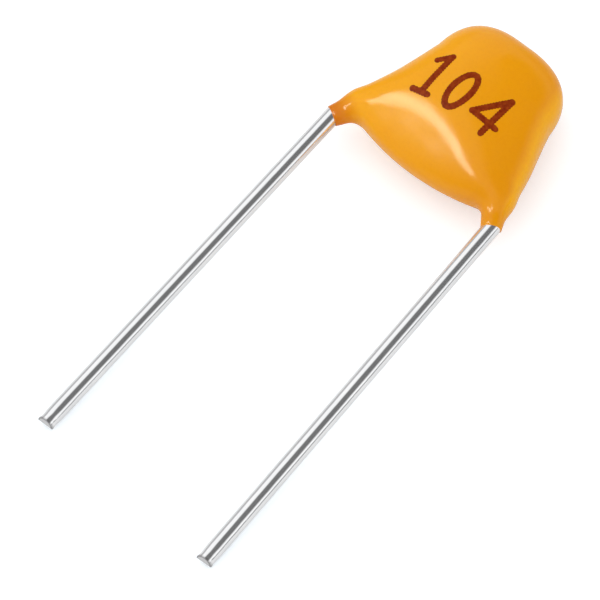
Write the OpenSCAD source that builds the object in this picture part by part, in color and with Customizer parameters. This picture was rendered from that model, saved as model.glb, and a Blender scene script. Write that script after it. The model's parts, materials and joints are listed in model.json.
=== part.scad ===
// Radial-leaded multilayer ceramic capacitor, dipped in epoxy. All sizes are in millimetres.
// The design frame has both leads along -Y in the plane z = 0, and y = 0 is the line where they leave
// the coat. at_rest() then lays the part down on its belly and its lead tips, as it comes to rest.

/* [Leads] */
// Distance between the lead axes where they leave the coat
lead_pitch = 5.08; // [4.8:0.02:5.4]
// Diameter of the tinned wire
lead_d = 0.45; // [0.4:0.01:0.55]
// Length of the left lead outside the coat
left_lead_l = 10.95; // [8:0.05:14]
// Length of the right lead outside the coat
right_lead_l = 11.45; // [8:0.05:14]
// Angle by which each lead leans outwards
lead_splay = 1; // [0:0.1:2]
// Radius of the wire's bends, at its centre line
bend_r = 0.45; // [0.35:0.05:0.6]
// Angle of the slanted stretch between the exit and the chip
bend_angle = 55; // [50:1:65]
// Where the left lead starts to bend inwards
left_bend_y = 0; // [-0.1:0.05:0]
// Where the right lead starts to bend inwards
right_bend_y = 0; // [-0.1:0.05:0]
// Length of the tail that is soldered to the chip
tail_l = 1; // [0.8:0.05:1.1]
// How far the sheared tip slopes back above its edge
tip_bevel_top = 0.03; // [0.01:0.01:0.1]
// How far the sheared tip slopes back below its edge
tip_bevel_bottom = 0.12; // [0.05:0.01:0.2]

/* [Ceramic chip] */
// Length of the chip between its terminations
chip_l = 2; // [1.8:0.05:2.2]
// Width of the chip, along the leads
chip_w = 1.25; // [1:0.05:1.4]
// Thickness of the chip
chip_t = 0.85; // [0.6:0.05:1]
// Distance from the exit line to the chip's lower edge
chip_y = 1.55; // [1.5:0.05:1.7]
// Radius of the chip's long edges
chip_edge_r = 0.1; // [0.05:0.01:0.15]

/* [Electrodes] */
// Number of plates in the stack
electrode_count = 12; // [4:1:20]
// Thickness of a plate
electrode_t = 0.02; // [0.01:0.005:0.025]
// Height of the stack from its first plate to its last
stack_t = 0.6; // [0.4:0.02:0.7]
// Bare ceramic between a plate's free end and the other termination
end_margin = 0.25; // [0.15:0.01:0.4]
// Bare ceramic beside a plate
side_margin = 0.2; // [0.1:0.01:0.3]

/* [Terminations and solder] */
// Thickness of a termination on the chip's end
termination_end_t = 0.06; // [0.04:0.01:0.1]
// Thickness of a termination on the chip's four sides
termination_side_t = 0.04; // [0.02:0.01:0.08]
// How far a termination wraps along the chip
termination_band = 0.4; // [0.25:0.01:0.6]
// Solder between a wire and its termination
solder_gap = 0.03; // [0.01:0.01:0.06]
// Radius of the hollow solder fillets beside a wire
solder_fillet_r = 0.16; // [0.12:0.01:0.2]
// How far the thin edges of the solder stop short of a sharp point
solder_edge = 0.05; // [0.03:0.01:0.07]

/* [Coat] */
// Height of the coat's dome above the exit line
coat_h = 4.35; // [4.2:0.05:4.8]
// Thickness of the coat over both faces
coat_t = 2.4; // [2.1:0.05:2.8]
// Width of the coat at its dome
dome_w = 3.6; // [3.5:0.02:4.2]
// Width of the coat on the exit line
base_w = 5.6; // [5.5:0.02:6]
// Height at which the flared sides reach the dome's width
flare_h = 3; // [2.5:0.05:3.5]
// Bow of the flared sides: 1 is straight, and more is hollow
flare_bow = 1.1; // [1:0.05:1.4]
// How far the dome lies to the right of the leads' middle
dome_shift = 0.2; // [0:0.01:0.25]
// Height of the coat's lower edge, midway between the leads
web_y = 0.01; // [-0.2:0.01:0.1]
// How much higher the lower edge is beside the leads
web_rise = 0.54; // [0.1:0.01:0.6]
// Thickness of the coat at its lower edge
web_t = 0.82; // [0.7:0.02:1.2]
// Height of the ridge between the face and the slope under it
ridge_y = 1.56; // [1.3:0.02:1.8]
// Blend along that ridge
ridge_blend = 0.3; // [0.1:0.05:0.6]
// How far the highest line of each face lies from the leads' middle
crown_x = -0.35; // [-0.4:0.05:0.4]
// Fall of each face, 1 mm to the side of that line
face_fall = 0.1; // [0.04:0.01:0.12]
// Fall of each face from its middle to its dome and to its lower edge
face_bow = 0.05; // [0:0.01:0.1]
// Blend round the coat's rim where the coat is thickest
rim_blend = 1.05; // [0.8:0.05:1.3]
// Rounding of the rim midway between the faces
rim_round = 0.15; // [0.1:0.05:0.25]
// Blend of the dome's two corners
dome_blend = 1.5; // [1.2:0.05:1.9]
// Blend of the lower edge's two corners
web_blend = 0.4; // [0.2:0.05:0.5]

/* [Collars] */
// Thickness of epoxy on a lead where the coat starts
collar_t = 0.045; // [0.03:0.005:0.07]
// Thickness of epoxy at the coat's very end
collar_end_t = 0.015; // [0.01:0.005:0.025]
// Lean of a collar from its lead towards the chip
collar_lean = 28; // [22:1:32]
// Length of a collar
collar_l = 0.9; // [0.7:0.05:1.1]
// Growth of a collar's radius over each millimetre of its length
collar_growth = 0.12; // [0.08:0.02:0.24]
// Blend between a collar and the body
collar_blend = 0.3; // [0.2:0.05:0.5]

/* [Hidden] */
// Sections across the coat, points round each section, and sections that close each of its ends
section_count = 45;
around_count = 44;
closing_count = 4;
// Angle over which each end of the coat closes onto its lead
closing_angle = 2.5;
// Power with which the sections' middles come down from the chip to the exit line
fan_bow = 0.9;
// Halvings of a search interval
search_steps = 20;
// Height at which the dome's sideways shift is complete
shift_h = 2;
// Half the height over which face_bow is measured
bow_h = 2;
// Least thickness that the faces and slopes are given, outside the body
least_t = 0.24;
// Most that the part can tilt when it comes to rest
tilt_limit = 20;
// Overlap of tools that only cut or join
slack = 0.1;
$fn = 48;

lead_r = lead_d / 2;
chip_end_x = chip_l / 2 + termination_end_t;
tail_x = chip_end_x + solder_gap + lead_r;
face_z = coat_t / 2;
face_mid_y = chip_y + chip_w / 2;
web_slope = (coat_t - web_t) / 2 / (ridge_y - web_y);

// ---- Smooth blends of two surfaces, over a width k ----

function blend_max(a, b, k) = max(a, b) + pow(max(k - abs(a - b), 0), 2) / (4 * k);
function blend_min(a, b, k) = -blend_max(-a, -b, k);

// ---- The wire's centre line, for the right-hand lead ----

function heading(a) = [-sin(a), cos(a)];
function side_of(a) = [cos(a), sin(a)];
function bend_start(bend_y) = [lead_pitch / 2 - bend_y * tan(lead_splay), bend_y];
function first_centre(bend_y) = bend_start(bend_y) - bend_r * side_of(lead_splay);
function slant_start(bend_y) = first_centre(bend_y) + bend_r * side_of(bend_angle);
function slant_l(bend_y) =
    (slant_start(bend_y).x - tail_x - bend_r * (1 - cos(bend_angle))) / sin(bend_angle);
function slant_end(bend_y) = slant_start(bend_y) + slant_l(bend_y) * heading(bend_angle);
function second_centre(bend_y) = slant_end(bend_y) + bend_r * side_of(bend_angle);
function tail_start(bend_y) = second_centre(bend_y) - [bend_r, 0];
function lead_tip(out_l) = [lead_pitch / 2, 0] - out_l * heading(lead_splay);

// Distance of the wire from the middle on the exit line
function exit_x(bend_y) =
    bend_y < 0
    ? first_centre(bend_y).x + sqrt(pow(bend_r, 2) - pow(first_centre(bend_y).y, 2))
    : lead_pitch / 2;

// ---- The coat's surface: coat_field() is negative inside it ----

function half_width(y) =
    dome_w / 2 + (base_w - dome_w) / 2 * pow(max(1 - y / flare_h, 0), flare_bow);
function smooth_step(t) = t * t * (3 - 2 * t);
function middle_x(y) = dome_shift * smooth_step(min(max(y / shift_h, 0), 1));

// Outline of the body seen from above
function outline_field(x, y) =
    blend_max(
        blend_max(abs(x - middle_x(y)) - half_width(y), y - coat_h, dome_blend),
        web_y + web_rise * pow(2 * x / lead_pitch, 2) - y,
        web_blend
    );

// Height of the body's surface: the face, and the slope that falls from the ridge to the web
function face_height(x, y) =
    face_z - face_fall * pow(x - crown_x, 2) - face_bow * pow((y - face_mid_y) / bow_h, 2);
function slope_height(y) = web_t / 2 + (y - web_y) * web_slope;
function body_height(x, y) =
    max(blend_min(face_height(x, y), slope_height(y), ridge_blend), least_t / 2);

function body_field(x, y, z) =
    let (height = body_height(x, y))
    blend_max(
        outline_field(x, y),
        norm([z, rim_round]) - norm([height, rim_round]),
        rim_blend * height / face_z
    );

// The leaning sleeve of epoxy on the nearer lead
function collar_field(x, y, z) =
    let (
        out = abs(x) - lead_pitch / 2,
        across = out * cos(collar_lean) + y * sin(collar_lean),
        along = y * cos(collar_lean) - out * sin(collar_lean)
    )
    blend_max(
        norm([across, z]) - (lead_r + collar_t + collar_growth * max(along, 0)),
        along - collar_l,
        collar_blend
    );

function coat_field(x, y, z) =
    blend_min(body_field(x, y, z), collar_field(x, y, z), collar_blend);

// ---- Sections of the coat, standing on rays that fan out from a point below it ----

fan_y = -lead_pitch / 2 * tan(collar_lean);
end_angle = 90 - collar_lean;
section_limit = end_angle - closing_angle;

function end_radius(a) = exit_x(a < 0 ? left_bend_y : right_bend_y) / sin(end_angle);
function middle_radius(a) =
    let (inwards = face_mid_y - fan_y)
    inwards + (end_radius(a) - inwards) * pow(abs(a) / end_angle, fan_bow);
function section_point(a, phi, d) =
    let (r = middle_radius(a) + d * cos(phi))
    [r * sin(a), fan_y + r * cos(a), d * sin(phi)];
function surface_distance(a, phi, near, far, steps) =
    let (mid = (near + far) / 2, p = section_point(a, phi, mid))
    steps == 0
    ? mid
    : coat_field(p.x, p.y, p.z) < 0
    ? surface_distance(a, phi, mid, far, steps - 1)
    : surface_distance(a, phi, near, mid, steps - 1);

// The slanted section of the wire with its last film of epoxy, onto which the coat closes
function wire_distance(phi) =
    (lead_r + collar_end_t) / norm([cos(phi) * cos(collar_lean), sin(phi)]);
function closing_share(a) = min((end_angle - abs(a)) / closing_angle, 1);
function coat_point(a, phi) =
    let (
        far = surface_distance(a, phi, 0, base_w, search_steps),
        onto = wire_distance(phi),
        share = sqrt(1 - pow(1 - closing_share(a), 2))
    )
    section_point(a, phi, onto + (far - onto) * share);

closing_angles = [
    for (i = [0:closing_count - 1]) end_angle - closing_angle * pow(i / closing_count, 2)
];
section_angles = concat(
    [for (a = closing_angles) -a],
    [for (i = [0:section_count - 1]) section_limit * (2 * i / (section_count - 1) - 1)],
    [for (i = [closing_count - 1:-1:0]) closing_angles[i]]
);
coat_points = [
    for (a = section_angles)
    for (j = [0:around_count - 1]) coat_point(a, 360 * j / around_count)
];
last_ring = len(section_angles) - 1;
coat_faces = concat(
    [[for (j = [0:around_count - 1]) j]],
    [
        for (i = [0:last_ring - 1])
        for (j = [0:around_count - 1])
        let (
            here = i * around_count,
            next = here + around_count,
            k = (j + 1) % around_count
        )
        for (corner = [[here + j, next + k, here + k], [here + j, next + j, next + k]]) corner
    ],
    [[for (j = [around_count - 1:-1:0]) last_ring * around_count + j]]
);

// ---- How the part comes to rest: its belly and its lead tips touch the surface together ----

function lowest_belly(tilt) = min([for (p = coat_points) p.y * sin(tilt) + p.z * cos(tilt)]);
function tip_height(tilt, out_l) =
    (lead_tip(out_l).y + tip_bevel_bottom) * sin(tilt) - lead_r * cos(tilt);
function lowest_tip(tilt) = min(tip_height(tilt, left_lead_l), tip_height(tilt, right_lead_l));
function rest_tilt(low, high, steps) =
    let (mid = (low + high) / 2)
    steps == 0
    ? mid
    : lowest_tip(mid) > lowest_belly(mid)
    ? rest_tilt(mid, high, steps - 1)
    : rest_tilt(low, mid, steps - 1);
tilt = rest_tilt(0, tilt_limit, search_steps);
rest_lift = -lowest_belly(tilt);
dome_end_y = max([for (p = coat_points) p.y * cos(tilt) - p.z * sin(tilt)]);
tip_end_y = lead_tip(max(left_lead_l, right_lead_l)).y * cos(tilt);

function electrode_name(i) = str("electrode_", i < 10 ? "0" : "", i);

// ---- Shared shapes ----

module at_rest() {
    translate([0, -(dome_end_y + tip_end_y) / 2, rest_lift])
        rotate([tilt, 0, 0])
            children();
}

// A block along X with four round long edges, centred on the chip
module round_block(l, w, t, r) {
    translate([-l / 2, chip_y + chip_w / 2, 0])
        rotate([90, 0, 90])
            linear_extrude(l)
                union() {
                    square([w - 2 * r, t], center = true);
                    square([w, t - 2 * r], center = true);
                    for (x = [-1, 1])
                        for (y = [-1, 1])
                            translate([x * (w / 2 - r), y * (t / 2 - r)])
                                circle(r);
                }
}

module chip_block() {
    round_block(chip_l, chip_w, chip_t, chip_edge_r);
}

module capped_block() {
    round_block(
        2 * chip_end_x,
        chip_w + 2 * termination_side_t,
        chip_t + 2 * termination_side_t,
        chip_edge_r + termination_side_t
    );
}

// Everything within one termination's length of the right-hand end
module right_end_zone() {
    translate([chip_l / 2 - termination_band, chip_y - chip_w, -chip_t])
        cube([termination_band + termination_end_t + slack, 3 * chip_w, 2 * chip_t]);
}

// A straight run of wire along +Y. What is put on it continues from its far end
module wire_run(l) {
    rotate([-90, 0, 0])
        cylinder(h = l, r = lead_r);
    translate([0, l, 0])
        children();
}

// A bend to the left, or to the right when side is -1. What is put on it continues from its far end
module wire_turn(angle, side) {
    translate([-side * bend_r, 0, 0]) {
        rotate([0, 0, side > 0 ? 0 : 180 - angle])
            rotate_extrude(angle = angle)
                translate([bend_r, 0])
                    circle(lead_r);
        rotate([0, 0, side * angle])
            translate([side * bend_r, 0, 0])
                children();
    }
}

// The stretch outside the coat, down to a tip that shears have left as a wedge
module wire_outside(l) {
    intersection() {
        rotate([90, 0, 0])
            cylinder(h = l, r = lead_r);
        rotate([90, 0, 90])
            translate([0, 0, -lead_d])
                linear_extrude(2 * lead_d)
                    polygon([
                        [-l, 0],
                        [-l + 2 * tip_bevel_bottom, -lead_d],
                        [slack, -lead_d],
                        [slack, lead_d],
                        [-l + 2 * tip_bevel_top, lead_d]
                    ]);
    }
}

module right_wire(out_l, bend_y) {
    translate([bend_start(bend_y).x, bend_y, 0])
        rotate([0, 0, lead_splay]) {
            wire_outside(out_l + bend_y / cos(lead_splay));
            wire_turn(bend_angle - lead_splay, 1)
                wire_run(slant_l(bend_y))
                    wire_turn(bend_angle, -1)
                        wire_run(tail_l);
        }
}

// Hollow fillets between the wire's tail and the termination, and the solder behind the wire
module right_solder(bend_y) {
    reach = sqrt(
        pow(lead_r + solder_fillet_r, 2) - pow(solder_fillet_r - solder_gap - lead_r, 2)
    );
    share = lead_r / (lead_r + solder_fillet_r);
    touch = [tail_x + (chip_end_x + solder_fillet_r - tail_x) * share, reach * share];
    low_y = max(tail_start(bend_y).y, chip_y);
    high_y = min(tail_start(bend_y).y + tail_l, chip_y + chip_w);
    translate([0, high_y, 0])
        rotate([90, 0, 0])
            linear_extrude(high_y - low_y)
                difference() {
                    translate([chip_end_x, solder_edge - reach])
                        square([touch.x - chip_end_x - solder_edge, 2 * (reach - solder_edge)]);
                    for (z = [-reach, reach])
                        translate([chip_end_x + solder_fillet_r, z])
                            circle(solder_fillet_r);
                    translate([tail_x, 0])
                        circle(lead_r);
                }
}

module electrode_shape(i) {
    plate_l = chip_l - end_margin;
    plate_w = chip_w - 2 * side_margin;
    z = stack_t * ((i - 1) / (electrode_count - 1) - 0.5);
    translate([i % 2 == 1 ? -chip_l / 2 : chip_l / 2 - plate_l, chip_y + side_margin, z - electrode_t / 2])
        cube([plate_l, plate_w, electrode_t]);
}

// ---- The pieces ----

module ceramic_body() {
    color("#c9b48f")
        difference() {
            chip_block();
            for (i = [1:electrode_count])
                electrode_shape(i);
        }
}

module electrode(i) {
    color("#8f8a80")
        electrode_shape(i);
}

module right_termination() {
    color("#c4c6c8")
        difference() {
            intersection() {
                capped_block();
                right_end_zone();
            }
            chip_block();
        }
}

module left_termination() {
    mirror([1, 0, 0])
        right_termination();
}

module right_solder_joint() {
    color("#d5d8da")
        right_solder(right_bend_y);
}

module left_solder_joint() {
    color("#d5d8da")
        mirror([1, 0, 0])
            right_solder(left_bend_y);
}

module right_lead() {
    color("#dcdfe2")
        right_wire(right_lead_l, right_bend_y);
}

module left_lead() {
    color("#dcdfe2")
        mirror([1, 0, 0])
            right_wire(left_lead_l, left_bend_y);
}

module epoxy_coating() {
    color("#f0980f")
        difference() {
            polyhedron(points = coat_points, faces = coat_faces);
            chip_block();
            left_termination();
            right_termination();
            left_solder_joint();
            right_solder_joint();
            left_lead();
            right_lead();
        }
}

at_rest() epoxy_coating();
at_rest() ceramic_body();
at_rest() left_termination();
at_rest() right_termination();
at_rest() left_solder_joint();
at_rest() right_solder_joint();
at_rest() left_lead();
at_rest() right_lead();
for (i = [1:electrode_count])
    at_rest() electrode(i);
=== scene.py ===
import json
import math

import bpy
import numpy as np
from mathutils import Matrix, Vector


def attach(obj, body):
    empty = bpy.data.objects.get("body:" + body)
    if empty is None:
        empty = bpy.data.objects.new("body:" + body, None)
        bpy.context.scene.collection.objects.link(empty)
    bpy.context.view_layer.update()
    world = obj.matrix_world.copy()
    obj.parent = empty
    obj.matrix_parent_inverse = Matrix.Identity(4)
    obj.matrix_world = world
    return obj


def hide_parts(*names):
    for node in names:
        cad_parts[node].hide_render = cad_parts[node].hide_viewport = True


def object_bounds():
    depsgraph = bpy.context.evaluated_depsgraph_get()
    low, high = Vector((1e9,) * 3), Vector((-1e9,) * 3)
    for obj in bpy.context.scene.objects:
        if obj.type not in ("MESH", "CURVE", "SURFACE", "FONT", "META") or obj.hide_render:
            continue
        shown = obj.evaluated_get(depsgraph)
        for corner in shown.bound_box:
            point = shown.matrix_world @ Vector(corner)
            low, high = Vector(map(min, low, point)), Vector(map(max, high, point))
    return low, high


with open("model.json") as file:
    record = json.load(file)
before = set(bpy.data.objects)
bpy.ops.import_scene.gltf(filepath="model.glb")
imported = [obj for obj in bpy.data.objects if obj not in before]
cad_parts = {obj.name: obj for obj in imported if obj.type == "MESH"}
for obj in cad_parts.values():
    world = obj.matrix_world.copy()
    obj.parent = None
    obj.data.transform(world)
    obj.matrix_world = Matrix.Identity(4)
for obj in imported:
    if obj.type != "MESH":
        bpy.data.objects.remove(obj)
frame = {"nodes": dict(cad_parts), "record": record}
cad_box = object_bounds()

# The looks of a radial-leaded multilayer ceramic capacitor: a glossy amber coat, its marking and two
# bright wires. Lengths are in millimetres in the design frame, where the leads run along -Y in the
# plane z = 0 and y = 0 is the line where they leave the coat. to_world() turns them into the frame's
# metres. The leads and the coat follow part.scad, with the same names, values and formulas on a finer
# mesh.

MM = 0.001

# ---- Leads ----

LEAD_PITCH = 5.08
LEAD_R = 0.225
LEAD_SPLAY = math.radians(1)
LEFT_LEAD_L = 10.95
RIGHT_LEAD_L = 11.45
BEND_R = 0.45
BEND_ANGLE = math.radians(55)
# The tail lies along the termination, at this distance from the middle
TAIL_X = 1.315
TAIL_L = 1.0
TIP_BEVEL_TOP = 0.03
TIP_BEVEL_BOTTOM = 0.12
TIP_ROUND = 0.012
# The shear left the wire a little thinner behind its tip: (distance from the tip, radius taken off)
TIP_WAIST = (
    (0.015, 0.0005),
    (0.04, 0.003),
    (0.08, 0.008),
    (0.12, 0.012),
    (0.18, 0.013),
    (0.26, 0.009),
    (0.36, 0.003),
)
# Points round the wire, stations along its straight run and each bend, rings that close its tip (as
# shares of the radius) and turns that round the tip's edge
WIRE_SIDES = 64
STRAIGHT_STATIONS = 24
BEND_STATIONS = 12
TIP_RINGS = (0.05, 0.5)
TIP_ROUND_TURNS = (30, 60, 90)
# Edges sharper than this stay crisp
WIRE_CREASE = math.radians(25)

# ---- Coat ----

COAT_H = 4.35
COAT_T = 2.4
DOME_W = 3.6
BASE_W = 5.6
FLARE_H = 3.0
FLARE_BOW = 1.1
DOME_SHIFT = 0.2
SHIFT_H = 2.0
WEB_Y = 0.01
WEB_RISE = 0.54
WEB_T = 0.82
RIDGE_Y = 1.56
RIDGE_BLEND = 0.3
CROWN_X = -0.35
FACE_FALL = 0.1
FACE_BOW = 0.05
FACE_MID_Y = 2.175
BOW_H = 2.0
LEAST_T = 0.24
RIM_BLEND = 1.05
RIM_ROUND = 0.15
DOME_BLEND = 1.5
WEB_BLEND = 0.4
COLLAR_T = 0.045
COLLAR_END_T = 0.015
COLLAR_L = 0.9
COLLAR_GROWTH = 0.12
COLLAR_BLEND = 0.3
COLLAR_LEAN = math.radians(28)
FAN_BOW = 0.9
CLOSING_ANGLE = math.radians(2.5)
# The smoother skin lies this far inside the field, so that it stays within the CAD's facets
SKIN_INSET = 0.002

# Sections across the coat, points round each, sections that close each end, and halvings of the search
# for the surface
SECTION_COUNT = 221
AROUND_COUNT = 176
CLOSING_COUNT = 8
SEARCH_STEPS = 34
COAT_CREASE = math.radians(60)

# ---- Marking: the strokes' edges wave, and the film reaches INK_T above and below the surface ----

STROKE_R = 0.08
STROKE_WAVE = 0.007
STROKE_WAVE_L = 0.075
OVAL_POINTS = 49
INK_GRID = 0.0125
INK_T = 0.004

# ---- Rest pose, from the frame ----

right_pin = {m["name"]: m for m in frame["record"]["mounts"]}["right_lead_pin"]
TILT = math.atan2(-right_pin["axis"][2], -right_pin["axis"][1])
PIN_DOWN = math.cos(LEAD_SPLAY) * RIGHT_LEAD_L / 2
REST_Y = right_pin["pos_m"][1] / MM + PIN_DOWN * math.cos(TILT)
REST_Z = right_pin["pos_m"][2] / MM + PIN_DOWN * math.sin(TILT)


def to_world(points):
    """Design millimetres to the frame's metres, where the part lies on its belly and its lead tips."""
    p = np.asarray(points, float)
    x, y, z = p[..., 0], p[..., 1], p[..., 2]
    c, s = math.cos(TILT), math.sin(TILT)
    return np.stack([x, y * c - z * s + REST_Y, y * s + z * c + REST_Z], -1) * MM


def mesh_object(name, points, faces, smooth_angle=None):
    """A smooth piece of design-frame points, on the one body. Edges over smooth_angle stay crisp."""
    mesh = bpy.data.meshes.new(name)
    mesh.from_pydata(to_world(points).tolist(), [], faces)
    mesh.validate()
    mesh.shade_smooth()
    if smooth_angle is not None:
        mesh.set_sharp_from_angle(angle=smooth_angle)
    piece = bpy.data.objects.new(name, mesh)
    bpy.context.scene.collection.objects.link(piece)
    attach(piece, "root")
    return piece


def tube_faces(ring_count, count):
    """Quads between rings of count points that follow each other, and a face over each end."""
    faces = []
    for first in range(0, (ring_count - 1) * count, count):
        for j in range(count):
            a, b = first + j, first + (j + 1) % count
            faces.append((a, b, b + count, a + count))
    last = (ring_count - 1) * count
    return faces + [tuple(range(count))[::-1], tuple(range(last, last + count))]


# ---- The coat's surface: coat_field() is negative inside it ----


def blend_max(a, b, width):
    """The larger value, rounded off where the two are closer than width."""
    return np.maximum(a, b) + np.maximum(width - np.abs(a - b), 0) ** 2 / (4 * width)


def blend_min(a, b, width):
    return -blend_max(-a, -b, width)


def half_width(y):
    """The dome's half width, which flares towards the wires."""
    share = np.maximum(1 - y / FLARE_H, 0) ** FLARE_BOW
    return DOME_W / 2 + (BASE_W - DOME_W) / 2 * share


def outline_field(x, y):
    """The outline seen from the face: the leaning dome, and the web between the wires."""
    rise = np.clip(y / SHIFT_H, 0, 1)
    from_middle = np.abs(x - DOME_SHIFT * rise**2 * (3 - 2 * rise))
    dome = blend_max(from_middle - half_width(y), y - COAT_H, DOME_BLEND)
    web = WEB_Y + WEB_RISE * (2 * x / LEAD_PITCH) ** 2 - y
    return blend_max(dome, web, WEB_BLEND)


def body_height(x, y):
    """Half the body's thickness: the face, and the slope that falls from the ridge to the web."""
    face = COAT_T / 2 - FACE_FALL * (x - CROWN_X) ** 2 - FACE_BOW * ((y - FACE_MID_Y) / BOW_H) ** 2
    slope = WEB_T / 2 + (y - WEB_Y) * (COAT_T - WEB_T) / 2 / (RIDGE_Y - WEB_Y)
    return np.maximum(blend_min(face, slope, RIDGE_BLEND), LEAST_T / 2)


def body_field(x, y, z):
    """The outline and the two faces, with a rim rounded between them."""
    height = body_height(x, y)
    over = np.hypot(z, RIM_ROUND) - np.hypot(height, RIM_ROUND)
    return blend_max(outline_field(x, y), over, RIM_BLEND * height / (COAT_T / 2))


def collar_field(x, y, z):
    """The leaning, tapered collar on each wire."""
    out = np.abs(x) - LEAD_PITCH / 2
    across = out * math.cos(COLLAR_LEAN) + y * math.sin(COLLAR_LEAN)
    along = y * math.cos(COLLAR_LEAN) - out * math.sin(COLLAR_LEAN)
    radius = LEAD_R + COLLAR_T + COLLAR_GROWTH * np.maximum(along, 0)
    return blend_max(np.hypot(across, z) - radius, along - COLLAR_L, COLLAR_BLEND)


def coat_field(x, y, z):
    return blend_min(body_field(x, y, z), collar_field(x, y, z), COLLAR_BLEND)


def search(place, near, far):
    """Distances at which place(distance) crosses the coat's surface, by halving."""
    for _ in range(SEARCH_STEPS):
        middle = (near + far) / 2
        inside = coat_field(*place(middle)) < 0
        near = np.where(inside, middle, near)
        far = np.where(inside, far, middle)
    return (near + far) / 2


def build_coat():
    """Sections stand on rays that fan out from a point below the coat, and close onto the wires."""
    fan_y = -LEAD_PITCH / 2 * math.tan(COLLAR_LEAN)
    end_angle = math.pi / 2 - COLLAR_LEAN
    limit = end_angle - CLOSING_ANGLE
    closing = [end_angle - CLOSING_ANGLE * (i / CLOSING_COUNT) ** 2 for i in range(CLOSING_COUNT)]
    spread = list(np.linspace(-limit, limit, SECTION_COUNT))
    angles = np.array([-a for a in closing] + spread + closing[::-1])
    turns = np.linspace(0, 2 * math.pi, AROUND_COUNT, endpoint=False)
    angle, turn = np.meshgrid(angles, turns, indexing="ij")
    end_radius = LEAD_PITCH / 2 / math.sin(end_angle)
    inwards = FACE_MID_Y - fan_y
    middle = inwards + (end_radius - inwards) * (np.abs(angle) / end_angle) ** FAN_BOW

    def place(distance):
        radius = middle + distance * np.cos(turn)
        return radius * np.sin(angle), fan_y + radius * np.cos(angle), distance * np.sin(turn)

    surface = search(place, np.zeros_like(angle), np.full_like(angle, BASE_W)) - SKIN_INSET
    onto = (LEAD_R + COLLAR_END_T) / np.hypot(np.cos(turn) * math.cos(COLLAR_LEAN), np.sin(turn))
    share = np.sqrt(1 - (1 - np.minimum((end_angle - np.abs(angle)) / CLOSING_ANGLE, 1)) ** 2)
    points = np.stack(place(onto + (surface - onto) * share), -1).reshape(-1, 3)
    return mesh_object("amber_coat", points, tube_faces(len(angles), AROUND_COUNT), COAT_CREASE)


# ---- The wires ----


def wire_stations(lead_l):
    """(x, y, angle) along a right-hand wire's centre line, from its tip to the end of its tail."""

    def toward(a):
        return np.array([math.cos(a), math.sin(a)])

    up = np.array([-math.sin(LEAD_SPLAY), math.cos(LEAD_SPLAY)])
    exit_point = np.array([LEAD_PITCH / 2, 0.0])
    first_centre = exit_point - BEND_R * toward(LEAD_SPLAY)
    slant_start = first_centre + BEND_R * toward(BEND_ANGLE)
    slant_l = (slant_start[0] - TAIL_X - BEND_R * (1 - math.cos(BEND_ANGLE))) / math.sin(BEND_ANGLE)
    slant_end = slant_start + slant_l * np.array([-math.sin(BEND_ANGLE), math.cos(BEND_ANGLE)])
    second_centre = slant_end + BEND_R * toward(BEND_ANGLE)
    stations = []
    for d in np.linspace(0, lead_l, STRAIGHT_STATIONS):
        stations.append((*(exit_point - up * (lead_l - d)), LEAD_SPLAY))
    for a in np.linspace(LEAD_SPLAY, BEND_ANGLE, BEND_STATIONS)[1:]:
        stations.append((*(first_centre + BEND_R * toward(a)), a))
    for a in np.linspace(BEND_ANGLE, 0, BEND_STATIONS):
        stations.append((*(second_centre - BEND_R * toward(a)), a))
    stations.append((TAIL_X, stations[-1][1] + TAIL_L, 0.0))
    return stations


def tip_slope(height):
    """How far the sheared tip slopes back at this height above the wire's middle."""
    return np.where(height > 0, TIP_BEVEL_TOP * height, -TIP_BEVEL_BOTTOM * height) / LEAD_R


def build_wire(name, side, lead_l):
    """One wire on the side -1 (left) or 1 (right), with its sheared tip, its waist and its tail."""
    turns = np.linspace(0, 2 * math.pi, WIRE_SIDES, endpoint=False)
    stations = wire_stations(lead_l)
    points = []

    def add_ring(x, y, angle, radius, back):
        """A ring across the wire at this angle, each of its points moved back along the wire."""
        across = radius * np.cos(turns)
        height = radius * np.sin(turns)
        px = x + across * math.cos(angle) - back * math.sin(angle)
        py = y + across * math.sin(angle) + back * math.cos(angle)
        points.extend(zip(side * px, py, height))

    tip_x, tip_y, tip_angle = stations[0]
    for radius in (*(LEAD_R * share for share in TIP_RINGS), LEAD_R - TIP_ROUND):
        add_ring(tip_x, tip_y, tip_angle, radius, tip_slope(radius * np.sin(turns)))
    for turn in map(math.radians, TIP_ROUND_TURNS):
        radius = LEAD_R - TIP_ROUND * (1 - math.sin(turn))
        back = tip_slope(radius * np.sin(turns)) + TIP_ROUND * (1 - math.cos(turn))
        add_ring(tip_x, tip_y, tip_angle, radius, back)
    waist_l = TIP_WAIST[-1][0]
    for behind, thinner in TIP_WAIST:
        radius = LEAD_R - thinner
        slope = tip_slope(radius * np.sin(turns)) + TIP_ROUND
        add_ring(tip_x, tip_y, tip_angle, radius, slope * (1 - behind / waist_l) + behind)
    for x, y, angle in stations[1:]:
        add_ring(x, y, angle, LEAD_R, np.zeros(WIRE_SIDES))
    faces = tube_faces(len(points) // WIRE_SIDES, WIRE_SIDES)
    if side < 0:
        faces = [face[::-1] for face in faces]
    return mesh_object(name, points, faces, WIRE_CREASE)


# ---- The marking: strokes of ink, each a path of design-frame points ----


def oval(centre, half, lean):
    """A closed oval path whose upper end leans to the right by lean."""
    turn = np.linspace(0, 2 * math.pi, OVAL_POINTS)
    y = half[1] * np.sin(turn)
    return np.stack([centre[0] + half[0] * np.cos(turn) + lean * y, centre[1] + y], -1)


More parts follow.
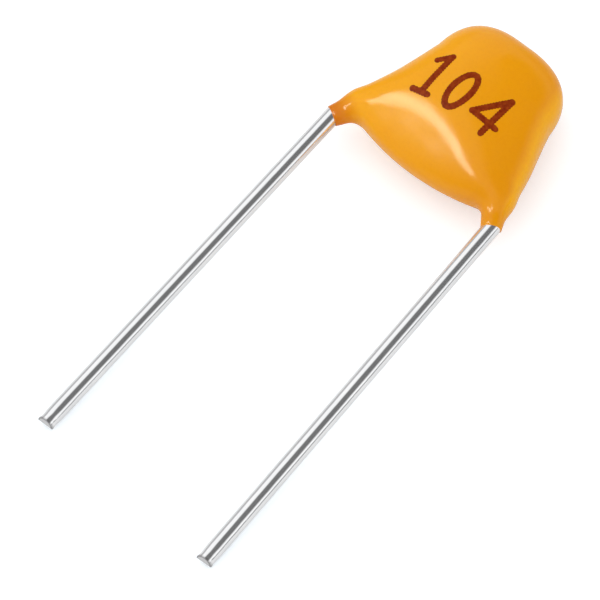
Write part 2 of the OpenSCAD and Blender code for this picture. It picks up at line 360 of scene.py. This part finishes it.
DIGITS = {
    "digit_one": [
        [(-1.06, 2.42), (-0.80, 2.70)],
        [(-0.80, 2.70), (-0.84, 1.50)],
        [(-1.07, 1.45), (-0.66, 1.52)],
    ],
    "digit_zero": [oval((-0.05, 2.10), (0.24, 0.54), 0.08)],
    "digit_four": [
        [(1.09, 2.68), (0.50, 1.86)],
        [(0.50, 1.86), (1.22, 1.86)],
        [(1.09, 2.68), (1.01, 1.53)],
    ],
}


def stroke_field(x, y, path):
    """Distance to the stroke's edge, negative in the stroke."""
    path = np.asarray(path, float)
    run = 0.0
    field = np.full_like(x, np.inf)
    for a, b in zip(path[:-1], path[1:]):
        d = b - a
        length = math.hypot(*d)
        t = np.clip(((x - a[0]) * d[0] + (y - a[1]) * d[1]) / length**2, 0, 1)
        radius = STROKE_R + STROKE_WAVE * np.cos(2 * math.pi * (run + t * length) / STROKE_WAVE_L)
        field = np.minimum(field, np.hypot(x - a[0] - t * d[0], y - a[1] - t * d[1]) - radius)
        run += length
    return field


def build_digit(name, strokes):
    """A thin closed film on the coat, cut from a fine grid along the strokes' edges."""
    corners = np.concatenate([np.asarray(s, float) for s in strokes])
    reach = STROKE_R + STROKE_WAVE + 2 * INK_GRID
    xs = np.arange(corners[:, 0].min() - reach, corners[:, 0].max() + reach, INK_GRID)
    ys = np.arange(corners[:, 1].min() - reach, corners[:, 1].max() + reach, INK_GRID)
    grid_x, grid_y = np.meshgrid(xs, ys, indexing="ij")
    field = np.min([stroke_field(grid_x, grid_y, s) for s in strokes], axis=0)
    flat, edge_of, top_of, bottom_of = [], {}, {}, {}

    def inner(i, j):
        """The film's top and bottom points at a place on the grid."""
        if (i, j) not in top_of:
            top_of[i, j] = len(flat)
            flat.append((xs[i], ys[j], 1))
            bottom_of[i, j] = len(flat)
            flat.append((xs[i], ys[j], -1))
        return top_of[i, j], bottom_of[i, j]

    def crossing(a, b):
        """The point between two places where the edge runs, for the top and for the bottom."""
        key = (min(a, b), max(a, b))
        if key not in edge_of:
            share = field[a] / (field[a] - field[b])
            edge_x = xs[a[0]] + share * (xs[b[0]] - xs[a[0]])
            edge_y = ys[a[1]] + share * (ys[b[1]] - ys[a[1]])
            edge_of[key] = len(flat)
            flat.append((edge_x, edge_y, 0))
        return edge_of[key], edge_of[key]

    faces = []
    for i in range(len(xs) - 1):
        for j in range(len(ys) - 1):
            cell = [(i, j), (i + 1, j), (i + 1, j + 1), (i, j + 1)]
            if min(field[c] for c in cell) >= 0:
                continue
            pairs = []
            for a, b in zip(cell, cell[1:] + cell[:1]):
                if field[a] < 0:
                    pairs.append(inner(*a))
                if (field[a] < 0) != (field[b] < 0):
                    pairs.append(crossing(a, b))
            faces.append(tuple(top for top, _ in pairs))
            faces.append(tuple(bottom for _, bottom in pairs[::-1]))
    flat = np.array(flat)
    x, y = flat[:, 0], flat[:, 1]
    z = search(lambda height: (x, y, height), np.zeros_like(x), np.full_like(x, COAT_T))
    points = np.stack([x, y, z + INK_T * flat[:, 2]], -1)
    return mesh_object(name, points, faces)


# ---- Colours ----


def srgb(red, green, blue):
    """A colour given as it shows on a screen, from 0 to 255, as linear light."""

    def linear(v):
        v /= 255
        return v / 12.92 if v <= 0.04045 else ((v + 0.055) / 1.055) ** 2.4

    return linear(red), linear(green), linear(blue)


AMBER = srgb(246, 170, 8)
AMBER_CLOUD = srgb(240, 162, 4)
# Painted shade: deeper amber to the right, away from the light
AMBER_RIGHT_SHADE = srgb(229, 148, 1)
# Painted light: paler amber on the flanks, where the surface turns to the side
AMBER_FLANK_LIGHT = srgb(243, 171, 6)
# Painted shade: deeper amber at the collars, where the wires leave the coat
AMBER_LEFT_COLLAR_SHADE = srgb(212, 116, 1)
AMBER_RIGHT_COLLAR_SHADE = srgb(228, 147, 1)
AMBER_FLECK = srgb(200, 105, 2)
INK_DARK = srgb(120, 32, 0)
INK_WORN = srgb(150, 58, 8)
TIN = srgb(250, 250, 251)
TIN_CLOUD = srgb(243, 244, 246)
# Painted shadow: the burr's shadow, dark round the rim of each sheared tip
CUT_RIM_SHADOW = srgb(148, 148, 149)
CUT_FACE = srgb(215, 215, 217)

# Each pair is where a colour starts to change and where it has changed. From left to right for the
# painted
# shade on the right, and distances from a wire's exit for the painted shade at the collars, in
# millimetres:
AMBER_RIGHT_SHADE_SPAN = (-1.4, 2.0)
COLLAR_SHADE_REACH = (0.25, 0.85)
# How far to the side the surface faces, from 0 to 1, for the painted light on the flanks
FLANK_LIGHT_TURN = (0.6, 0.8)
# Distances from the middle of a wire's tip, in millimetres: the cut's face, and its rim with a painted
# shadow of the burr
CUT_FACE_REACH = (0.175, 0.205)
CUT_RIM_SHADOW_REACH = (0.222, 0.236)


# ---- Materials ----

# Noise seldom leaves this range
NOISE_LOW = 0.3
NOISE_HIGH = 0.7


class Nodes:
    """Adds nodes to one tree. An input is fed with a value or with the output that drives it."""

    def __init__(self, tree):
        self.nodes = tree.nodes
        self.links = tree.links

    def feed(self, socket, value):
        if isinstance(value, bpy.types.NodeSocket):
            self.links.new(value, socket)
        elif isinstance(value, tuple):
            # A colour has a fourth value, its alpha
            socket.default_value = value + (1,) * (len(socket.default_value) - len(value))
        else:
            socket.default_value = value

    def add(self, kind, inputs, **settings):
        """The outputs of a new node, with its settings and its inputs by name or number."""
        node = self.nodes.new("ShaderNode" + kind)
        for name, value in settings.items():
            setattr(node, name, value)
        for key, value in inputs.items():
            self.feed(node.inputs[key], value)
        return node.outputs

    def scalar_math(self, operation, *values):
        return self.add("Math", dict(enumerate(values)), operation=operation)["Value"]

    def vector_math(self, operation, first, second):
        return self.add("VectorMath", {0: first, 1: second}, operation=operation)

    def mix(self, share, first, second, data_type="RGBA"):
        inputs = {"Factor": share, "A": first, "B": second}
        return self.add("Mix", inputs, data_type=data_type)["Result"]

    def remap(self, value, low, high, from_low=NOISE_LOW, from_high=NOISE_HIGH, curve="LINEAR"):
        """Goes from low to high as value goes from from_low to from_high, and stays level beyond."""
        inputs = {
            "Value": value,
            "From Min": from_low,
            "From Max": from_high,
            "To Min": low,
            "To Max": high,
        }
        return self.add("MapRange", inputs, interpolation_type=curve)["Result"]


class Shader(Nodes):
    """One node material. Positions are in millimetres of the object."""

    def __init__(self, name):
        self.material = bpy.data.materials.new(name)
        self.material.use_nodes = True
        super().__init__(self.material.node_tree)
        self.surface = self.nodes["Principled BSDF"]
        self.coordinates = self.add("TexCoord", {})
        self.position = self.scaled(self.coordinates["Object"], (1 / MM,) * 3)

    def scaled(self, vector, factors):
        return self.vector_math("MULTIPLY", vector, factors)["Vector"]

    def noise(self, per_mm, detail=2, roughness=0.5, stretch=(1, 1, 1), distortion=0):
        """Noise with about per_mm spots to the millimetre, stretched along the axes."""
        inputs = {
            "Vector": self.scaled(self.position, stretch),
            "Scale": per_mm,
            "Detail": detail,
            "Roughness": roughness,
            "Distortion": distortion,
        }
        return self.add("TexNoise", inputs)["Fac"]

    def rightwards(self, start_mm, end_mm):
        """Goes from 0 to 1 between two places from left to right."""
        place = self.vector_math("DOT_PRODUCT", self.position, (1, 0, 0))["Value"]
        return self.remap(place, 0, 1, start_mm, end_mm)

    def near(self, point, inner_mm, outer_mm):
        """Falls from 1 to 0 between two distances from a point of the design frame."""
        away = self.vector_math("DISTANCE", self.position, tuple(to_world(point) / MM))["Value"]
        return self.remap(away, 1, 0, inner_mm, outer_mm)

    def sideways(self, start, end):
        """Goes from 0 to 1 as the surface turns to face left or right."""
        facing = self.add("SeparateXYZ", {"Vector": self.coordinates["Normal"]})["X"]
        return self.remap(self.scalar_math("ABSOLUTE", facing), 0, 1, start, end)

    def bump(self, height, distance_mm, over=None):
        """A bumped normal, on top of another one where that is given."""
        inputs = {"Height": height, "Distance": distance_mm * MM}
        if over is not None:
            inputs["Normal"] = over
        return self.add("Bump", inputs)["Normal"]

    def set(self, **inputs):
        """Feeds the surface shader's sockets, named with underscores for spaces."""
        for name, value in inputs.items():
            self.feed(self.surface.inputs[name.replace("_", " ")], value)
        return self.material


def amber_epoxy():
    """Faintly cloudy and flecked. Painted shade makes it deeper to the right, away from the light, and
    at the collars, where the wires leave it. Painted light makes it paler on the flanks."""
    s = Shader("amber_epoxy")
    colour = s.mix(s.remap(s.noise(per_mm=0.5, detail=3), 0, 1), AMBER, AMBER_CLOUD)
    # Painted shade to the right
    colour = s.mix(s.rightwards(*AMBER_RIGHT_SHADE_SPAN), colour, AMBER_RIGHT_SHADE)
    # Painted light on the flanks
    colour = s.mix(s.sideways(*FLANK_LIGHT_TURN), colour, AMBER_FLANK_LIGHT)
    # Painted shade at each collar
    for side, collar_shade in ((-1, AMBER_LEFT_COLLAR_SHADE), (1, AMBER_RIGHT_COLLAR_SHADE)):
        wire_exit = (side * LEAD_PITCH / 2, 0, 0)
        colour = s.mix(s.near(wire_exit, *COLLAR_SHADE_REACH), colour, collar_shade)
    fleck = s.remap(s.noise(per_mm=13, detail=3), 0, 0.1, from_low=0.45, from_high=0.75)
    colour = s.mix(fleck, colour, AMBER_FLECK)
    flow = s.bump(s.noise(per_mm=1.1, detail=1, stretch=(1, 0.6, 1)), distance_mm=0.02)
    return s.set(
        Base_Color=colour,
        Roughness=s.remap(s.noise(per_mm=2.2, detail=3), 0.13, 0.2),
        Normal=s.bump(s.noise(per_mm=9, detail=4), distance_mm=0.0012, over=flow),
        IOR=1.32,
        Subsurface_Weight=0.12,
        Subsurface_Scale=0.3 * MM,
        Subsurface_Radius=(1.0, 0.45, 0.1),
    )


def brown_ink():
    """Matt ink, worn lighter in patches."""
    s = Shader("brown_ink")
    patch = s.remap(s.noise(per_mm=10, detail=4, roughness=0.65), 0, 1, from_low=0.35, from_high=0.65)
    return s.set(
        Base_Color=s.mix(patch, INK_DARK, INK_WORN),
        Roughness=s.remap(s.noise(per_mm=20, detail=3), 0.35, 0.5),
        IOR=1.15,
        Normal=s.bump(s.noise(per_mm=26, detail=3), distance_mm=0.004),
    )


def tinned_wire():
    """Bright tin with faint streaks along the wire. The sheared face is greyer, and a painted shadow of
    the burr darkens its rim.
    """
    s = Shader("tinned_wire")
    streak = s.noise(per_mm=7, detail=4, roughness=0.6, stretch=(1, 0.06, 1))
    sway = s.bump(s.noise(per_mm=0.9, detail=2), distance_mm=0.01)
    colour = s.mix(s.remap(s.noise(per_mm=1.2, detail=3), 0, 1), TIN, TIN_CLOUD)
    for side, lead_l in ((-1, LEFT_LEAD_L), (1, RIGHT_LEAD_L)):
        tip_x = LEAD_PITCH / 2 + lead_l * math.sin(LEAD_SPLAY)
        tip = (side * tip_x, -lead_l * math.cos(LEAD_SPLAY), 0)
        # Painted shadow of the burr round the tip's rim
        colour = s.mix(s.near(tip, *CUT_RIM_SHADOW_REACH), colour, CUT_RIM_SHADOW)
        colour = s.mix(s.near(tip, *CUT_FACE_REACH), colour, CUT_FACE)
    return s.set(
        Base_Color=colour,
        Metallic=0.87,
        Roughness=s.remap(streak, 0.05, 0.1),
        Normal=s.bump(streak, distance_mm=0.0012, over=sway),
    )


def grained(name, noise, first, second, roughness, bump_mm, metallic=1):
    """A material whose colour, roughness and bump all follow one noise."""
    s = Shader(name)
    grain = s.noise(**noise)
    return s.set(
        Base_Color=s.mix(s.remap(grain, 0, 1), first, second),
        Metallic=metallic,
        Roughness=s.remap(grain, *roughness),
        Normal=s.bump(grain, bump_mm),
    )


def sintered_ceramic():
    return grained(
        "sintered_ceramic",
        noise={"per_mm": 18, "detail": 5, "roughness": 0.7},
        first=srgb(205, 184, 146),
        second=srgb(186, 162, 122),
        roughness=(0.55, 0.75),
        bump_mm=0.004,
        metallic=0,
    )


def nickel_plate():
    return grained(
        "plate_metal",
        noise={"per_mm": 30, "detail": 4, "roughness": 0.6},
        first=srgb(152, 147, 138),
        second=srgb(128, 122, 114),
        roughness=(0.35, 0.5),
        bump_mm=0.001,
    )


def plated_termination():
    return grained(
        "termination_metal",
        noise={"per_mm": 22, "detail": 4, "roughness": 0.65},
        first=srgb(205, 207, 209),
        second=srgb(178, 180, 182),
        roughness=(0.3, 0.45),
        bump_mm=0.003,
    )


def bright_solder():
    return grained(
        "solder",
        noise={"per_mm": 4, "detail": 3, "distortion": 0.6},
        first=srgb(214, 216, 219),
        second=srgb(190, 192, 196),
        roughness=(0.15, 0.3),
        bump_mm=0.01,
    )


def dress(obj, material):
    """Gives a piece or a CAD node its material."""
    obj.data.materials.clear()
    obj.data.materials.append(material)


# ---- Pieces ----

coat = build_coat()
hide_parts("epoxy_coating")
dress(coat, amber_epoxy())

wire_look = tinned_wire()
for name, node, side, lead_l in (
    ("left_wire", "left_lead", -1, LEFT_LEAD_L),
    ("right_wire", "right_lead", 1, RIGHT_LEAD_L),
):
    wire = build_wire(name, side, lead_l)
    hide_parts(node)
    dress(wire, wire_look)

ink = brown_ink()
for name, strokes in DIGITS.items():
    dress(build_digit(name, strokes), ink)

# The CAD nodes inside the coat, by the record's slots
inner_looks = {
    "ceramic": sintered_ceramic(),
    "plate_metal": nickel_plate(),
    "termination_metal": plated_termination(),
    "solder": bright_solder(),
}
for part in frame["record"]["subparts"]:
    if part["material_slot"] in inner_looks:
        dress(frame["nodes"][part["node"]], inner_looks[part["material_slot"]])

# ---- Camera: nearly parallel rays, so a very long lens ----

AZIMUTH = math.radians(39.36)
ELEVATION = math.radians(60.4)
PX_PER_MM = 40.35
IMAGE_PX = 600
# Where the middle between the wires' exits stands in the image, from its upper left
EXIT_MIDDLE_PX = (411.25, 172.5)
LENS_MM = 1000.0
SENSOR_MM = 36.0
CLIP_START_M = 0.01
CLIP_END_M = 10

right = Vector((math.cos(AZIMUTH), math.sin(AZIMUTH), 0))
horizontal = math.cos(ELEVATION)
to_camera = Vector(
    (math.sin(AZIMUTH) * horizontal, -math.cos(AZIMUTH) * horizontal, math.sin(ELEVATION))
)
up = to_camera.cross(right)
exit_middle = Vector(to_world((0, 0, 0)))
across_mm = (EXIT_MIDDLE_PX[0] - IMAGE_PX / 2) / PX_PER_MM
down_mm = (EXIT_MIDDLE_PX[1] - IMAGE_PX / 2) / PX_PER_MM
target = exit_middle + (up * down_mm - right * across_mm) * MM
distance = IMAGE_PX / PX_PER_MM * MM * LENS_MM / SENSOR_MM

camera_data = bpy.data.cameras.new("camera")
camera_data.lens = LENS_MM
camera_data.sensor_width = SENSOR_MM
camera_data.clip_start = CLIP_START_M
camera_data.clip_end = CLIP_END_M
camera = bpy.data.objects.new("camera", camera_data)
camera.location = target + to_camera * distance
camera.rotation_euler = to_camera.to_track_quat("Z", "Y").to_euler()
bpy.context.scene.collection.objects.link(camera)
bpy.context.scene.camera = camera

# ---- Stage and lights ----

FLOOR_HALF_M = 0.6
FLOOR_PALE = (0.9, 0.9, 0.9)
FLOOR_CLOUD = (0.88, 0.88, 0.88)
# Gloss sees the floor darker. Only the camera sees the lift, which brings the lit floor up to the
# white of the photo's background and leaves the shadow on it.
FLOOR_IN_GLOSS = (0.8, 0.8, 0.8)
FLOOR_LIFT = 0.34
FLOOR_LIFT_COLOUR = (0.86, 1.0, 1.1)

# What gloss sees darker than the white room: (direction, angles at which it fades out, level)
CARDS = (
    ((0.31, 0.38, 0.87), (18, 38), 0.06),  # the ceiling behind the camera
    ((-0.93, 0.31, 0.0), (24, 34), 0.42),  # low on the left
    ((0.94, 0.32, 0.03), (7, 13), 0.2),  # the paper's edge, low on the right
    ((0.3, -0.93, 0.2), (20, 45), 0.25),  # low in front
    ((0.1, 0.99, 0.1), (12, 30), 0.45),  # low behind
)
# The plain light is a little stronger from the front left: its direction, the angles between which it
# fades, and its levels within and beyond them
FILL_DIRECTION = (-0.5, -0.5, 0.65)
FILL_EDGE = (15, 75)
FILL_LEVELS = (1.18, 0.92)

# The highlight under the ridge: (name, direction from the coat, width and height in metres, watts)
SOFT_BOXES = (
    ("key_light", (-0.27, -0.473, 0.839), 0.062, 0.0195, 0.068),
    ("key_light_wing", (-0.503, -0.6, 0.6225), 0.019, 0.054, 0.049),
)
SOFT_BOX_DISTANCE_M = 0.12
KEY_COLOUR = (1, 1, 0.8)


def stage_floor():
    """White paper at the level that the part stands on."""
    mesh = bpy.data.meshes.new("floor")
    level = cad_box[0][2]
    corners = ((-1, -1), (1, -1), (1, 1), (-1, 1))
    points = [(x * FLOOR_HALF_M, y * FLOOR_HALF_M, level) for x, y in corners]
    mesh.from_pydata(points, [], [(0, 1, 2, 3)])
    floor = bpy.data.objects.new("floor", mesh)
    bpy.context.scene.collection.objects.link(floor)
    s = Shader("floor_white")
    paths = s.add("LightPath", {})
    paper = s.mix(s.remap(s.noise(per_mm=0.6, detail=2), 0, 1), FLOOR_PALE, FLOOR_CLOUD)
    s.set(
        Base_Color=s.mix(paths["Is Glossy Ray"], paper, FLOOR_IN_GLOSS),
        Roughness=0.9,
        Specular_IOR_Level=0.1,
        Emission_Color=FLOOR_LIFT_COLOUR,
        Emission_Strength=s.scalar_math("MULTIPLY", paths["Is Camera Ray"], FLOOR_LIFT),
    )
    floor.data.materials.append(s.material)


def soft_box(name, direction, width_m, height_m, power):
    """A rectangular lamp that faces the coat and shows in its gloss only."""
    data = bpy.data.lights.new(name, "AREA")
    data.shape = "RECTANGLE"
    data.size = width_m
    data.size_y = height_m
    data.energy = power
    data.color = KEY_COLOUR
    lamp = bpy.data.objects.new(name, data)
    lamp.visible_diffuse = False
    direction = Vector(direction).normalized()
    lamp.location = exit_middle + direction * SOFT_BOX_DISTANCE_M
    lamp.rotation_euler = direction.to_track_quat("Z", "Y").to_euler()
    bpy.context.scene.collection.objects.link(lamp)


def studio_world():
    """White to the camera, a white room with CARDS to gloss, and the fill to all that it lights."""
    world = bpy.data.worlds.new("studio")
    world.use_nodes = True
    w = Nodes(world.node_tree)
    paths = w.add("LightPath", {})
    sky = w.add("TexCoord", {})["Generated"]

    def toward(direction, edge, inside, outside):
        """Goes from inside to outside between two angles from a direction."""
        straight = tuple(Vector(direction).normalized())
        facing = w.vector_math("DOT_PRODUCT", sky, straight)["Value"]
        near, far = (math.cos(math.radians(angle)) for angle in edge)
        return w.remap(facing, outside, inside, far, near, curve="SMOOTHSTEP")

    cards = [toward(direction, edge, level, 1.0) for direction, edge, level in CARDS]
    gloss = cards[0]
    for card in cards[1:]:
        gloss = w.scalar_math("MULTIPLY", gloss, card)
    fill = toward(FILL_DIRECTION, FILL_EDGE, *FILL_LEVELS)
    lit = w.mix(paths["Is Glossy Ray"], fill, gloss, "FLOAT")
    background = w.nodes["Background"]
    w.feed(background.inputs["Color"], (1, 1, 1))
    w.feed(background.inputs["Strength"], w.mix(paths["Is Camera Ray"], lit, 1.0, "FLOAT"))
    bpy.context.scene.world = world


stage_floor()
studio_world()
for box in SOFT_BOXES:
    soft_box(*box)

bpy.context.scene.view_settings.view_transform = "Standard"
